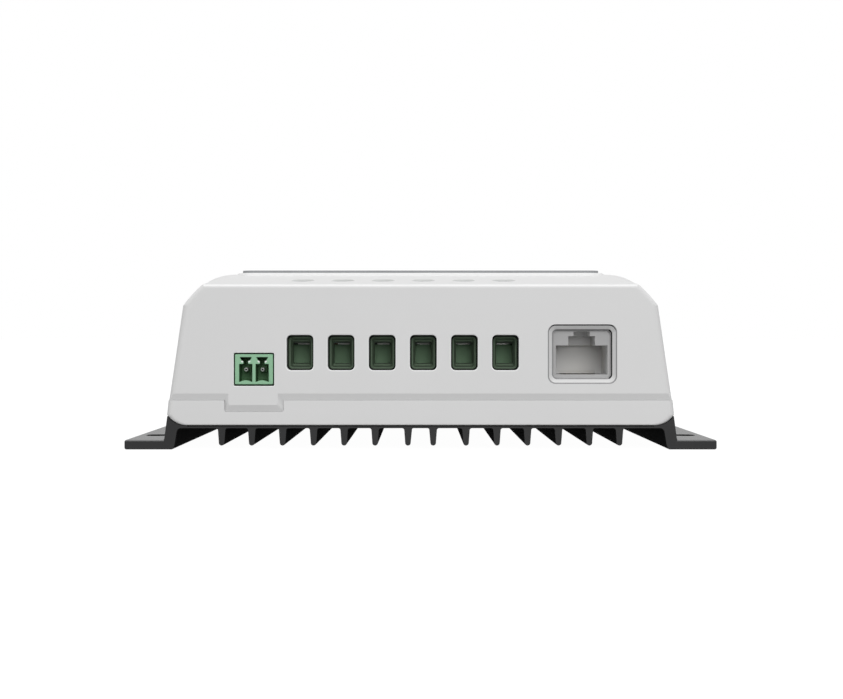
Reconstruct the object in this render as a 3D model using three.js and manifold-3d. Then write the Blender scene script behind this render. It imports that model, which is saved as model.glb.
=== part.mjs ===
// Solar charge controller: a two-part plastic casing on a finned, flanged aluminium heat sink,
// with a six-pole screw terminal block, a two-pin sensor header and a modular jack in its front end,
// and a display panel with four keys on top. Millimetres, +Z up, front end towards -Y,
// origin at the centre of the footprint on the mounting plane.
import * as THREE from "three";
import { mergeVertices } from "three/addons/utils/BufferGeometryUtils.js";
import Module from "manifold-3d";

const wasm = await Module();
wasm.setup();

// ---------------------------------------------------------------- driving dimensions
const WIDTH = 137.3; // over the flanges
const LENGTH = 192.0; // over the casing
const END_Y = LENGTH / 2;
const SINK_END_Y = 95.6;
const FLANGE_T = 2.2;
const BASE_Z0 = 4.93, BASE_Z1 = 7.9; // heat-sink base plate
const FIN_X = [2.93, 10.54, 17.72, 24.81, 31.99, 39.14, 46.12];
const FIN_Z = 0.9;
const HOLE_X = 64.1, HOLE_Y = 72.5, HOLE_R = 2.5, HOLE_L = 3.0; // mounting holes in the flanges
const WALL = 2.0; // casing wall
const SKIRT_Z0 = 5.63, SKIRT_Z1 = 11.1; // lower housing
const SEAM_Z0 = 11.4, SEAM_Z1 = 13.0; // bevel along the cover's lower edge
const PLATEAU_Z = 41.4, PAD_Z = 41.85, PANEL_Z0 = 41.35, PANEL_Z1 = 42.35;
const PANEL_X = 43.7, PANEL_Y0 = -70.0, PANEL_Y1 = 79.0;
const PCB_Z0 = 13.2, PCB_Z1 = 14.8;
const PITCH = 9.525, POLES = 6, POLE_X0 = -27.94; // terminal block
const SCREW_Y = -84.9, ACCESS_R = 2.65;
const WIN_W = 6.07, WIN_H = 8.04, WIN_Z = 22.5, WIN_R = 1.0;
const BLOCK_Y0 = -93.6, BLOCK_Y1 = -79.6, BLOCK_Z1 = 36.0;
const CAGE_Z0 = 18.4, CAGE_Z1 = 27.8; // rising cage, fully open; the screw's thread has 0.7 pitch and lifts it 4.2
const HEAD_X = -38.6, HEAD_W = 8.8, HEAD_Z0 = 15.1, HEAD_Z1 = 22.08; // sensor header
const JACK_X = 37.5, JACK_FACE_Y = -93.7;
const BOSS_X = 50.6, BOSS_Y = 86.0;
const BOARD_Z0 = 30.8, BOARD_Z1 = 32.4; // display board
const KEY_X = [-27, -9, 9, 27], KEY_Y = -22.0, KEY_W = 12.0, KEY_D = 7.0, KEY_TOP = 42.95;
const LCD_Y = 28.0, LCD_W = 60.0, LCD_H = 38.0; // clear window

// ---------------------------------------------------------------- helpers
const M = (g) => {
  const n = g.index ? g.toNonIndexed() : g;
  const p = new THREE.BufferGeometry().setAttribute("position", n.getAttribute("position").clone());
  const m = mergeVertices(p, 1e-4);
  return new wasm.Manifold(
    new wasm.Mesh({ numProp: 3, vertProperties: m.attributes.position.array, triVerts: new Uint32Array(m.index.array) }),
  );
};
const G = (solid) => {
  const m = solid.getMesh(), v = new Float32Array(m.numVert * 3);
  for (let i = 0; i < m.numVert; i++) v.set(m.vertProperties.subarray(i * m.numProp, i * m.numProp + 3), i * 3);
  const g = new THREE.BufferGeometry().setAttribute("position", new THREE.BufferAttribute(v, 3));
  g.setIndex(new THREE.BufferAttribute(new Uint32Array(m.triVerts), 1));
  return g;
};
const box = (x0, x1, y0, y1, z0, z1) => {
  const g = new THREE.BoxGeometry(x1 - x0, y1 - y0, z1 - z0);
  g.translate((x0 + x1) / 2, (y0 + y1) / 2, (z0 + z1) / 2);
  return M(g);
};
const cylZ = (x, y, z0, z1, r, seg = 20, rTop = r) => {
  const g = new THREE.CylinderGeometry(rTop, r, z1 - z0, seg);
  g.rotateX(Math.PI / 2);
  g.translate(x, y, (z0 + z1) / 2);
  return M(g);
};
const shapeOf = (pts) => new THREE.Shape(pts.map((p) => new THREE.Vector2(p[0], p[1])));
// a polygon in X and Z, carried from y0 to y1
const prismY = (pts, y0, y1, holes = []) => {
  const s = shapeOf(pts);
  holes.forEach((h) => s.holes.push(new THREE.Path(h.map((p) => new THREE.Vector2(p[0], p[1])))));
  const g = new THREE.ExtrudeGeometry(s, { depth: y1 - y0, bevelEnabled: false, curveSegments: 6 });
  g.rotateX(Math.PI / 2); // shape's y becomes z, depth runs to -y
  g.translate(0, y1, 0);
  return M(g);
};
// a polygon in X and Y, carried from z0 to z1
const prismZ = (pts, z0, z1) => {
  const g = new THREE.ExtrudeGeometry(shapeOf(pts), { depth: z1 - z0, bevelEnabled: false, curveSegments: 6 });
  g.translate(0, 0, z0);
  return M(g);
};
const roundRect = (cx, cy, w, h, r, n = 4) => {
  const pts = [];
  [[1, 1, 0], [-1, 1, 1], [-1, -1, 2], [1, -1, 3]].forEach(([sx, sy, q]) => {
    for (let i = 0; i <= n; i++) {
      const a = ((q + i / n) * Math.PI) / 2;
      pts.push([cx + sx * (w / 2 - r) + r * Math.cos(a), cy + sy * (h / 2 - r) + r * Math.sin(a)]);
    }
  });
  return pts;
};
// rings of equal length, joined side by side and capped flat at both ends
const loft = (rings) => {
  const n = rings[0].length, pos = [], idx = [];
  rings.forEach((r) => r.forEach((p) => pos.push(...p)));
  for (let k = 0; k + 1 < rings.length; k++)
    for (let i = 0; i < n; i++) {
      const a = k * n + i, b = k * n + ((i + 1) % n);
      idx.push(a, b, a + n, b, b + n, a + n);
    }
  const flat = (r) => r.map((p) => new THREE.Vector2(p[0], p[2]));
  const tri = THREE.ShapeUtils.triangulateShape(flat(rings[0]), []);
  tri.forEach(([a, b, c]) => idx.push(a, c, b));
  const last = (rings.length - 1) * n;
  THREE.ShapeUtils.triangulateShape(flat(rings[rings.length - 1]), []).forEach(([a, b, c]) =>
    idx.push(last + a, last + b, last + c),
  );
  const g = new THREE.BufferGeometry().setAttribute("position", new THREE.Float32BufferAttribute(pos, 3));
  g.setIndex(idx);
  let s = M(g);
  if (s.volume() < 0) {
    for (let i = 0; i < idx.length; i += 3) [idx[i + 1], idx[i + 2]] = [idx[i + 2], idx[i + 1]];
    g.setIndex(idx);
    s = M(g);
  }
  return s;
};
const add = (...s) => s.reduce((a, b) => a.add(b));

const root = new THREE.Group();
root.name = "charge_controller";
const mat = (color, roughness, metalness = 0) => new THREE.MeshStandardMaterial({ color, roughness, metalness });
const MATS = {
  shell: mat(0xd2d3d4, 0.55), sink: mat(0x2b2c2d, 0.45, 0.6), panel: mat(0x3c3f42, 0.35), clear: mat(0x27302c, 0.1),
  key: mat(0xb9bcbf, 0.6), green: mat(0x8fb999, 0.5), block: mat(0x3f5442, 0.5), steel: mat(0xb8babc, 0.3, 1),
  tin: mat(0xc6c8c6, 0.25, 1), gold: mat(0xc9a24a, 0.3, 1), pcb: mat(0x1f5a3a, 0.5), jack: mat(0x9c9d9e, 0.5),
  black: mat(0x1b1b1c, 0.6), lcd: mat(0x6f8478, 0.2), white: mat(0xe8e8e6, 0.5), copper: mat(0xa9622f, 0.35, 0.9),
  ferrite: mat(0x3a3b3a, 0.8), can: mat(0x23262b, 0.4), pad: mat(0x9aa3ad, 0.9), ribbon: mat(0x9aa0a4, 0.6),
};
const put = (name, solid, m) => {
  const mesh = new THREE.Mesh(G(solid), MATS[m]);
  mesh.name = name;
  root.add(mesh);
};

// ---------------------------------------------------------------- casing outline
const sideX = (z) => 55.1 + (33.3 - z) * 0.146;
const PROFILE = [ // distance from the front end, height of the top, corner width, corner height, roundness
  [0.0, 37.5, 4.0, 4.35, 1.0], [0.25, 37.95, 4.3, 4.75, 1.0], [0.8, 38.3, 4.5, 5.0, 1.02], [10.8, 39.47, 6.2, 5.3, 1.4],
  [21.5, 40.75, 8.6, 5.8, 1.85], [25.9, 41.27, 9.5, 6.1, 1.98], [27.5, PLATEAU_Z, 9.6, 6.2, 2.0], [LENGTH / 2, PLATEAU_Z, 9.6, 6.2, 2.0],
  [LENGTH - 13.0, PLATEAU_Z, 9.6, 6.2, 2.0], [LENGTH - 11.5, 41.15, 9.2, 6.1, 1.95], [LENGTH - 0.8, 38.3, 4.5, 5.0, 1.02],
  [LENGTH - 0.25, 37.95, 4.3, 4.75, 1.0], [LENGTH, 37.5, 4.0, 4.35, 1.0],
];
const profile = (d) => {
  let i = 0;
  while (i < PROFILE.length - 2 && d > PROFILE[i + 1][0]) i++;
  const [a, b] = [PROFILE[i], PROFILE[i + 1]], t = (d - a[0]) / (b[0] - a[0]);
  return a.map((v, k) => v + (b[k] - v) * t);
};
const END_R = 1.2; // rounding of the casing's upright edges
const endInset = (d) => {
  const e = Math.min(d, LENGTH - d);
  return e >= END_R ? 0 : END_R - Math.sqrt(END_R ** 2 - (END_R - e) ** 2);
};
const STATIONS = [0, 0.25, 0.8, 1.2, 10.8, 21.5, 25.9, 27.5, 96, 179, 180.5, 190.8, 191.2, 191.75, 192];
const coverRing = (d, inset, drop, zBottom, y, bevel) => {
  const [, top, cw, ch, p] = profile(d), zt = top - drop, zc = zt - ch, e = inset + endInset(d), half = [];
  if (bevel) half.push([sideX(SEAM_Z0) - 0.05 - e, SEAM_Z0], [sideX(SEAM_Z1) - e, SEAM_Z1]);
  else half.push([sideX(zBottom) - e, zBottom]);
  const N = 6, w = cw;
  for (let i = 0; i <= N; i++) {
    const a = ((i / N) * Math.PI) / 2;
    half.push([sideX(zc) - e - w * (1 - Math.cos(a) ** (2 / p)), zc + ch * Math.sin(a) ** (2 / p)]);
  }
  return [...half.map(([x, z]) => [x, y, z]), ...half.reverse().map(([x, z]) => [-x, y, z])];
};

// ---------------------------------------------------------------- upper cover
const poleX = (i) => POLE_X0 + i * PITCH;
{
  const outer = loft(STATIONS.map((d) => coverRing(d, 0, 0, 0, -END_Y + d, true)));
  const inner = loft([WALL, 10.8, 21.5, 25.9, 27.5, 96, 179, 180.5, LENGTH - WALL].map((d) => coverRing(d, WALL, WALL, 10, -END_Y + d, false)));
  // bosses for the casing screws, posts that hold the display board, and stops that hold the main board down
  const bosses = [];
  for (const sx of [-1, 1]) {
    for (const sy of [-1, 1]) bosses.push(cylZ(sx * BOSS_X, sy * BOSS_Y, 8.3, 40.5, 3.4, 14));
    for (const y of [-31, 56]) bosses.push(cylZ(sx * 37.5, y, BOARD_Z1 + 0.3, 40.2, 2.4, 10));
  }
  let s = outer.subtract(inner);
  s = s.add(add(...bosses).intersect(outer.add(box(-56, 56, -92, 92, 8.2, 14))));
  // low pad round the face panel
  s = s.add(add(prismZ(roundRect(0, 4.4, 90.2, 154.6, 4.5, 4), 39.6, 41.5), prismZ(roundRect(0, 4.4, 89.2, 153.6, 4.0, 4), 39.6, PAD_Z)));
  // tab below the sensor header, with a bevel round it
  const tab = (y, x0, x1, z) => [[x0, y, z], [x1, y, z], [x1, y, 14], [x0, y, 14]];
  s = s.add(loft([tab(-END_Y, -44.2, -33.2, 10.5), tab(-END_Y + 0.45, -45.4, -31.7, 8.9), tab(-END_Y + WALL, -45.4, -31.7, 8.9)])
    .subtract(box(-60, 60, -97, -90, 13.3, 20)));
  const cut = [];
  for (let i = 0; i < POLES; i++) {
    cut.push(prismY(roundRect(poleX(i), WIN_Z, WIN_W, WIN_H, WIN_R, 3), -97, -93));
    cut.push(cylZ(poleX(i), SCREW_Y, 35, 44, ACCESS_R, 18));
  }
  cut.push(box(HEAD_X - 4.7, HEAD_X + 4.7, -97, -93, 14.72, 22.39));
  // stepped opening of the jack: a bevelled recess, then the opening itself
  const rr = (w, h, r, y) => roundRect(JACK_X, 22.1, w, h, r, 4).map(([x, z]) => [x, y, z]);
  cut.push(loft([rr(16.4, 14.0, 1.7, -96.4), rr(15.9, 13.55, 1.5, -96.0), rr(14.1, 11.8, 1.1, -95.0), rr(13.8, 11.5, 1.0, -94.9), rr(13.8, 11.5, 1.0, -93.5)]));
  // seat for the face panel, display opening, key openings, light-guide holes, screw bores
  cut.push(prismZ(roundRect(0, (PANEL_Y0 + PANEL_Y1) / 2, 2 * PANEL_X + 0.6, PANEL_Y1 - PANEL_Y0 + 0.6, 3.3, 4), PANEL_Z0 - 0.3, 44));
  cut.push(box(-LCD_W / 2 - 0.5, LCD_W / 2 + 0.5, LCD_Y - LCD_H / 2 - 0.5, LCD_Y + LCD_H / 2 + 0.5, 38, 44));
  KEY_X.forEach((x) => cut.push(prismZ(roundRect(x, KEY_Y, KEY_W + 0.7, KEY_D + 0.7, 3.6, 4), 38, 44)));
  [-18, 0, 18].forEach((x) => cut.push(cylZ(x, 0, 38, 44, 1.8, 12)));
  for (const sx of [-1, 1]) for (const sy of [-1, 1]) cut.push(cylZ(sx * BOSS_X, sy * BOSS_Y, 8, 26, 1.8, 12));
  s = s.subtract(add(...cut));
  put("upper_cover", s, "shell");
}

// ---------------------------------------------------------------- lower housing
const cornerArc = (r, x1, n = 6) => { // under-corner of the casing, a round that stops at the side face
  const out = [], cx = 54.5, cz = 10.7, end = Math.asin((x1 - cx) / r);
  for (let i = 0; i <= n; i++) out.push([cx + r * Math.sin((end * i) / n), cz - r * Math.cos((end * i) / n)]);
  return out;
};
{
  const ring = (y, e) => {
    const half = [...cornerArc(5.07, 58.72).map(([x, z]) => [x - e, z]), [58.45 - e, SKIRT_Z1]];
    return [...half.map(([x, z]) => [x, y, z]), ...half.reverse().map(([x, z]) => [-x, y, z])];
  };
  const ys = [0, 0.25, 0.8, 1.2, 190.8, 191.2, 191.75, 192];
  let s = loft(ys.map((d) => ring(-END_Y + d, endInset(d))));
  s = s.subtract(box(-53.6, 53.6, -93.8, 93.8, 0, 20)).subtract(box(-56.5, 56.5, -93.8, 93.8, 7.2, 20));
  s = s.subtract(box(-45.75, -31.35, -97, -93, 8.6, 20)); // notch for the cover's tab
  // lugs that carry the main board
  const lugs = [];
  for (const sx of [-1, 1]) for (const y of [-70, 0, 62]) lugs.push(box(sx > 0 ? 42 : -57, sx > 0 ? 57 : -42, y - 3, y + 3, 8.5, 11), box(sx > 0 ? 42 : -55.6, sx > 0 ? 55.6 : -42, y - 3, y + 3, 10.9, 12.9));
  s = s.add(add(...lugs));
  put("lower_housing", s, "shell");
}

// ---------------------------------------------------------------- heat sink
{
  const half = [[0, BASE_Z0]];
  FIN_X.forEach((x) => half.push([x - 1.25, BASE_Z0], [x - 0.86, BASE_Z0 - 0.4], [x - 0.64, FIN_Z + 0.55], [x - 0.32, FIN_Z], [x + 0.32, FIN_Z], [x + 0.64, FIN_Z + 0.55], [x + 0.86, BASE_Z0 - 0.4], [x + 1.25, BASE_Z0]));
  half.push([56.0, BASE_Z0], [56.5, BASE_Z0 - 0.5], [57.1, 1.0], [57.7, 0], [WIDTH / 2 - 0.3, 0], [WIDTH / 2, 0.3], [WIDTH / 2, FLANGE_T - 0.2], [WIDTH / 2 - 0.2, FLANGE_T], [59.75, FLANGE_T], [59.45, FLANGE_T + 0.3]);
  half.push(...cornerArc(5.34, 58.7, 7).reverse(), [53.3, 5.36], [53.3, BASE_Z1], [0, BASE_Z1]);
  const left = half.slice(1, -1).reverse().map(([x, z]) => [-x, z]);
  let s = prismY([...half.slice(1, -1), ...left], -SINK_END_Y, SINK_END_Y);
  const cut = [];
  for (const sy of [-1, 1]) cut.push(box(-54.0, 54.0, sy > 0 ? 93.4 : -96, sy > 0 ? 96 : -93.4, 5.36, 12));
  for (const sx of [-1, 1])
    for (const sy of [-1, 1]) {
      cut.push(prismZ(roundRect(sx * HOLE_X, sy * HOLE_Y, 2 * HOLE_R, 2 * HOLE_R + HOLE_L, HOLE_R - 0.01, 4), -1, 4));
      cut.push(cylZ(sx * BOSS_X, sy * BOSS_Y, 4, 10, 1.8, 12), cylZ(sx * BOSS_X, sy * BOSS_Y, 4, 6.7, 3.1, 16));
    }
  cut.push(cylZ(0, 80, 4, 10, 1.8, 14));
  s = s.subtract(add(...cut));
  put("heat_sink", s, "sink");
}

// ---------------------------------------------------------------- face panel, window, keys, light guide
{
  let s = prismZ(roundRect(0, (PANEL_Y0 + PANEL_Y1) / 2, 2 * PANEL_X, PANEL_Y1 - PANEL_Y0, 3.0, 5), PANEL_Z0, PANEL_Z1);
  s = s.subtract(prismZ(roundRect(0, LCD_Y, LCD_W, LCD_H, 2.0, 3), 40, 44));
  KEY_X.forEach((x) => (s = s.subtract(prismZ(roundRect(x, KEY_Y, KEY_W + 0.6, KEY_D + 0.6, 3.55, 4), 40, 44))));
  [-18, 0, 18].forEach((x) => (s = s.subtract(cylZ(x, 0, 40, 44, 1.75, 12))));
  put("face_panel", s, "panel");
  put("display_window", prismZ(roundRect(0, LCD_Y, LCD_W - 0.4, LCD_H - 0.4, 1.8, 3), PANEL_Z0, PANEL_Z1 - 0.1), "clear");
  put("lcd_cell", box(-33, 33, LCD_Y - 22, LCD_Y + 22, 36.6, 38.8), "lcd");
  put("lcd_backlight", box(-34, 34, LCD_Y - 22.5, LCD_Y + 22.5, BOARD_Z1 + 0.3, 36.3), "white");
  put("display_board", box(-42, 42, -35, 60, BOARD_Z0, BOARD_Z1), "pcb");
  const posts = [-18, 0, 18].map((x) => cylZ(x, 0, 38.5, PANEL_Z1, 1.45, 12));
  put("light_guide", add(box(-21, 21, -2, 2, 38.1, 39.3), ...posts), "white");
}
["up", "down", "enter", "back"].forEach((name, i) => {
  const x = KEY_X[i];
  const cap = prismZ(roundRect(x, KEY_Y, KEY_W, KEY_D, 3.2, 5), 38.6, KEY_TOP);
  const rim = prismZ(roundRect(x, KEY_Y, KEY_W + 2.4, KEY_D + 2.4, 4.2, 5), 38.4, 39.3);
  put("key_" + name, add(cap, rim), "key");
  put("switch_plunger_" + name, cylZ(x, KEY_Y, 35.4, 38.1, 1.6, 14), "black");
  put("switch_body_" + name, box(x - 3, x + 3, KEY_Y - 3, KEY_Y + 3, BOARD_Z1 + 0.3, 36.4).subtract(cylZ(x, KEY_Y, 34.3, 38, 1.9, 14)), "black");
});

// ---------------------------------------------------------------- main board and what stands on it
{
  const cuts = [];
  for (let i = 0; i < POLES; i++) cuts.push(box(poleX(i) - 1.8, poleX(i) + 1.8, BLOCK_Y1 - 0.1, BLOCK_Y1 + 1.8, 12, 16));
  for (const dx of [-1.905, 1.905]) cuts.push(cylZ(HEAD_X + dx, -86.6, 12, 16, 0.85, 10));
  put("main_board", box(-46.5, 46.5, -93.4, 68.5, PCB_Z0, PCB_Z1).subtract(add(...cuts)), "pcb");
}
{ // terminal block housing
  const x0 = poleX(0) - PITCH / 2 - 0.1, x1 = poleX(POLES - 1) + PITCH / 2 + 0.1;
  let s = box(x0, x1, BLOCK_Y0, BLOCK_Y1, PCB_Z1 + 0.3, BLOCK_Z1);
  const cut = [];
  const rect = (x, w, h, r, y) => roundRect(x, 22.3, w, h, r, 2).map(([a, b]) => [a, y, b]);
  for (let i = 0; i < POLES; i++) {
    const x = poleX(i);
    cut.push(box(x - 3.5, x + 3.5, -88.2, -81.6, CAGE_Z0 - 0.3, 32.7)); // pocket of the cage
    cut.push(loft([rect(x, 6.3, 8.3, 0.8, -94), rect(x, 6.2, 8.2, 0.8, BLOCK_Y0), rect(x, 5.2, 7.0, 0.6, -92.6), rect(x, 4.3, 4.6, 0.2, -88.4), rect(x, 4.3, 4.6, 0.2, -88)])); // wire entry
    cut.push(cylZ(x, SCREW_Y, 32, 34, 2.35, 12)); // screw neck
    cut.push(cylZ(x, SCREW_Y, 33.6, 38, 3.1, 16)); // screw head
    cut.push(box(x - 2.3, x + 2.3, -82, BLOCK_Y1 + 1, 24.3, 26.3)); // way out of the contact bar
  }
  put("terminal_housing", s.subtract(add(...cut)), "block");
}
for (let i = 0; i < POLES; i++) {
  const x = poleX(i);
  const n = i + 1;
  // screw: fixed along its axis, its thread carries the cage
  const slot = add(box(x - 1.9, x + 1.9, SCREW_Y - 0.35, SCREW_Y + 0.35, 34.6, 37), box(x - 0.35, x + 0.35, SCREW_Y - 1.9, SCREW_Y + 1.9, 34.6, 37));
  put("terminal_screw_" + n, add(cylZ(x, SCREW_Y, 26.3, 34.0, 2.0, 12), cylZ(x, SCREW_Y, 33.9, 35.7, 2.8, 16)).subtract(slot), "steel");
  // rising cage, at rest fully open
  const ring = box(x - 3.2, x + 3.2, -87.9, -81.9, CAGE_Z0, CAGE_Z1).subtract(box(x - 2.3, x + 2.3, -89, -81, CAGE_Z0 + 1.4, CAGE_Z1 - 1.5));
  put("terminal_cage_" + n, ring.subtract(cylZ(x, SCREW_Y, 26, 29, 2.35, 12)), "tin");
  // fixed contact bar with its solder leg
  put("terminal_bar_" + n, add(box(x - 2.0, x + 2.0, -87.6, BLOCK_Y1 + 1.5, 24.6, 26.0), box(x - 1.5, x + 1.5, BLOCK_Y1 + 0.3, BLOCK_Y1 + 1.5, 12.2, 26.0)), "tin");
}
{ // sensor header
  let s = box(HEAD_X - HEAD_W / 2, HEAD_X + HEAD_W / 2, -96.0, -87.2, HEAD_Z0, HEAD_Z1);
  const cut = [];
  for (const dx of [-1.905, 1.905]) {
    const x = HEAD_X + dx;
    cut.push(prismY([[x - 1.52, 15.66], [x - 0.7, 15.95], [x + 0.7, 15.95], [x + 1.52, 15.66], [x + 1.52, 19.8], [x + 0.55, 19.8], [x + 0.55, 20.5], [x + 0.93, 20.58], [x + 1.4, 21.4], [x - 1.4, 21.4], [x - 0.93, 20.58], [x - 0.55, 20.5], [x - 0.55, 19.8], [x - 1.52, 19.8]], -97, -89.2));
    cut.push(box(x - 0.75, x + 0.75, -90, -86, 17.75, 19.3)); // way of the pin through the back
  }
  put("sensor_header", s.subtract(add(...cut)), "green");
  [-1.905, 1.905].forEach((dx, i) => {
    const x = HEAD_X + dx;
    const tip = loft([-95.0, -94.6, -86.1].map((y, k) => { const h = k ? 0.5 : 0.25; return [[x - h, y, 18.52 - h], [x + h, y, 18.52 - h], [x + h, y, 18.52 + h], [x - h, y, 18.52 + h]]; }));
    put("sensor_pin_" + (i + 1), add(tip, box(x - 0.5, x + 0.5, -87.1, -86.1, 12.2, 19.02)), "tin");
  });
}
{ // modular jack
  const y1 = JACK_FACE_Y + 18.0, x = JACK_X;
  let s = box(x - 7.6, x + 7.6, JACK_FACE_Y, y1, PCB_Z1 + 0.3, 28.9);
  s = s.subtract(box(x - 5.97, x + 5.97, -94, JACK_FACE_Y + 15.0, 17.35, 24.04));
  s = s.subtract(box(x - 3.1, x + 3.1, -94, JACK_FACE_Y + 12.0, 23.9, 26.26)).subtract(box(x - 1.87, x + 1.87, -94, JACK_FACE_Y + 9.0, 26.1, 27.37));
  s = s.subtract(box(x - 4.3, x + 4.3, JACK_FACE_Y + 4, JACK_FACE_Y + 15.2, 15.9, 17.6)); // well of the contacts
  s = s.subtract(box(x - 4.3, x + 4.3, JACK_FACE_Y + 14.0, y1 + 1, 15.9, 17.35));
  put("jack_housing", s, "jack");
  const comb = [box(x - 4.0, x + 4.0, JACK_FACE_Y + 9, y1 + 0.6, 16.2, 17.1)];
  for (let i = 0; i < 8; i++) {
    const cx = x + (i - 3.5) * 1.02;
    comb.push(loft([[JACK_FACE_Y + 5.0, 16.3, 16.65], [JACK_FACE_Y + 5.4, 16.3, 16.75], [JACK_FACE_Y + 12.5, 17.85, 18.3], [JACK_FACE_Y + 13.0, 17.85, 18.25]].map(([y, a, b]) => [[cx - 0.2, y, a], [cx + 0.2, y, a], [cx + 0.2, y, b], [cx - 0.2, y, b]])));
    comb.push(box(cx - 0.2, cx + 0.2, JACK_FACE_Y + 5.0, JACK_FACE_Y + 9.5, 16.3, 16.75));
  }
  put("jack_contacts", add(...comb), "gold");
}

// ---------------------------------------------------------------- power parts
{
  const ring = (r, w, h, z) => {
    const p = [[r - w / 2, z - h / 2], [r + w / 2, z - h / 2], [r + w / 2, z + h / 2], [r - w / 2, z + h / 2], [r - w / 2, z - h / 2]];
    const g = new THREE.LatheGeometry(p.map((q) => new THREE.Vector2(...q)), 24);
    g.rotateX(Math.PI / 2);
    g.translate(-20, 24, 0);
    const s = M(g);
    return s.volume() < 0 ? M(g.scale(1, 1, 1)) : s;
  };
  put("inductor_core", ring(11, 5, 8, 22.4), "ferrite");
  put("inductor_winding", ring(11, 9.6, 12.6, 22.4).subtract(ring(11, 5.6, 8.6, 22.4)).subtract(box(-20, -2, 21.5, 26.5, 14, 32)), "copper");
}
put("capacitor_1", cylZ(-30, -62, PCB_Z1 + 0.3, 37.0, 8.0, 22), "can");
put("capacitor_2", cylZ(-11, -62, PCB_Z1 + 0.3, 37.0, 8.0, 22), "can");
put("thermal_pad", box(-30, 30, 70.5, 90, BASE_Z1 + 0.3, BASE_Z1 + 0.6).subtract(cylZ(0, 80, 7, 10, 2.2, 14)), "pad");
[-16, 16].forEach((x, i) => {
  const legs = [-2.5, 0, 2.5].map((dx) => add(box(x + dx - 0.5, x + dx + 0.5, 63, 73, 10.6, 11.4), box(x + dx - 0.5, x + dx + 0.5, 63, 63.8, 10.6, 12.9)));
  put("mosfet_" + (i + 1), add(box(x - 7.8, x + 7.8, 72, 88, 8.9, 12.9), ...legs), "black");
});
put("mosfet_clamp", box(-24, 24, 76, 84, 13.2, 14.7).subtract(cylZ(0, 80, 12, 16, 1.85, 14)), "steel");
put("clamp_screw", add(cylZ(0, 80, 5.3, 15.1, 1.5, 14), cylZ(0, 80, 15.0, 17.0, 2.8, 18)), "steel");
for (const [n, sx, sy] of [[1, -1, -1], [2, 1, -1], [3, -1, 1], [4, 1, 1]]) {
  const x = sx * BOSS_X, y = sy * BOSS_Y;
  const cross = add(box(x - 1.7, x + 1.7, y - 0.35, y + 0.35, 4, 5.8), box(x - 0.35, x + 0.35, y - 1.7, y + 1.7, 4, 5.8));
  put("case_screw_" + n, add(cylZ(x, y, 6.3, 24.0, 1.5, 12), cylZ(x, y, 5.0, 6.4, 2.75, 16)).subtract(cross), "steel");
}
{ // flat cable from the display board down to the main board
  const pts = [[27, BOARD_Z0 - 0.3], [27, 28.5], [28.5, 26.5], [31, 25.5], [33.5, 24.0], [34.2, 21.5], [34.2, PCB_Z1 + 0.3]];
  const left = [], right = [];
  pts.forEach((p, i) => {
    const a = pts[Math.max(0, i - 1)], b = pts[Math.min(pts.length - 1, i + 1)];
    const dx = b[0] - a[0], dz = b[1] - a[1], l = Math.hypot(dx, dz), h = 0.45;
    left.push([p[0] - (dz / l) * h, p[1] + (dx / l) * h]);
    right.push([p[0] + (dz / l) * h, p[1] - (dx / l) * h]);
  });
  put("ribbon_cable", prismY([...left, ...right.reverse()], -14, -1), "ribbon");
}

export default root;
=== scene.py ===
import math

import bmesh
import bpy
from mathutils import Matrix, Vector


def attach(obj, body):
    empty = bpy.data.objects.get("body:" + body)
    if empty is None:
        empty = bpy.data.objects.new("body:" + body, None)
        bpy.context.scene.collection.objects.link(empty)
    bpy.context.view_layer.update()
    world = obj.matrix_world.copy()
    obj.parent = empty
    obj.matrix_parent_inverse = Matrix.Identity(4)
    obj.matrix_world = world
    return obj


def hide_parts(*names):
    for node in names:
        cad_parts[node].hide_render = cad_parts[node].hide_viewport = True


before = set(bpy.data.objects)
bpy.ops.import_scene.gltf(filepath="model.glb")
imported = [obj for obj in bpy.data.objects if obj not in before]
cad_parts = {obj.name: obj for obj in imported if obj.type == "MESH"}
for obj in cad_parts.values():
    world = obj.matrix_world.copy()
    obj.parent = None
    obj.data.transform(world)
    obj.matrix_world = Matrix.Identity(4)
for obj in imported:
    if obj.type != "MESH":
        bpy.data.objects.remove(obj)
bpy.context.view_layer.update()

# Solar charge controller: the looks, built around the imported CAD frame. Lengths in this file are millimetres
# until a mesh is made, then metres.
MM = 0.001
CASE = "case"
scene = bpy.context.scene
scene.view_settings.view_transform = "Standard"
scene.view_settings.look = "None"

# ------------------------------------------------------------------ materials


def linear(c):
    return c / 12.92 if c <= 0.04045 else ((c + 0.055) / 1.055) ** 2.4


def rgb(r, g, b):
    return (linear(r / 255), linear(g / 255), linear(b / 255), 1.0)


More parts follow.
